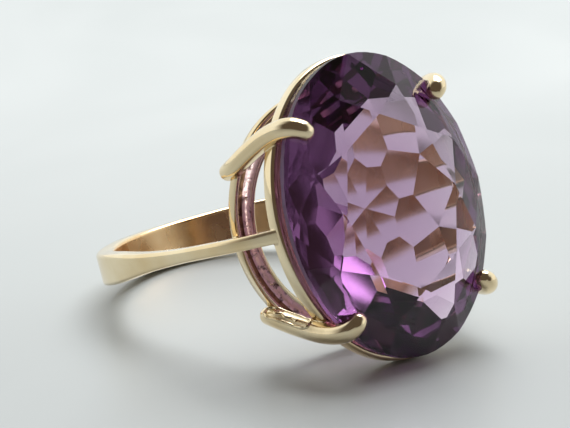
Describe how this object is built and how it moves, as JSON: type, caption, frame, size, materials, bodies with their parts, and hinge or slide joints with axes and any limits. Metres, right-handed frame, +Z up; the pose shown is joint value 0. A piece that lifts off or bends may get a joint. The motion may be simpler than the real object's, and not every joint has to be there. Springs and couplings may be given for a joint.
{
  "type": "cocktail ring",
  "caption": "Finger ring with a large oval faceted gem held by claws over two open gallery rails on a slender tapering shank.",
  "frame": {"origin": "on the surface the ring lies on, under the middle of its box", "axes": "+Z up; the ring lies on its side with the gem facing -Y and a little up, and the finger hole's axis 19 degrees from upright"},
  "size_m": [0.0198, 0.0272, 0.0177],
  "materials": {
    "amethyst": "polished transparent quartz",
    "yellow_gold": "polished pale yellow gold"
  },
  "bodies": {
    "root": {"amethyst": "amethyst", "upper_gallery_rail": "yellow_gold", "lower_gallery_rail": "yellow_gold", "shank": "yellow_gold", "claw_left_top": "yellow_gold", "claw_left_low": "yellow_gold", "claw_right_top": "yellow_gold", "claw_right_low": "yellow_gold"}
  },
  "joints": []
}
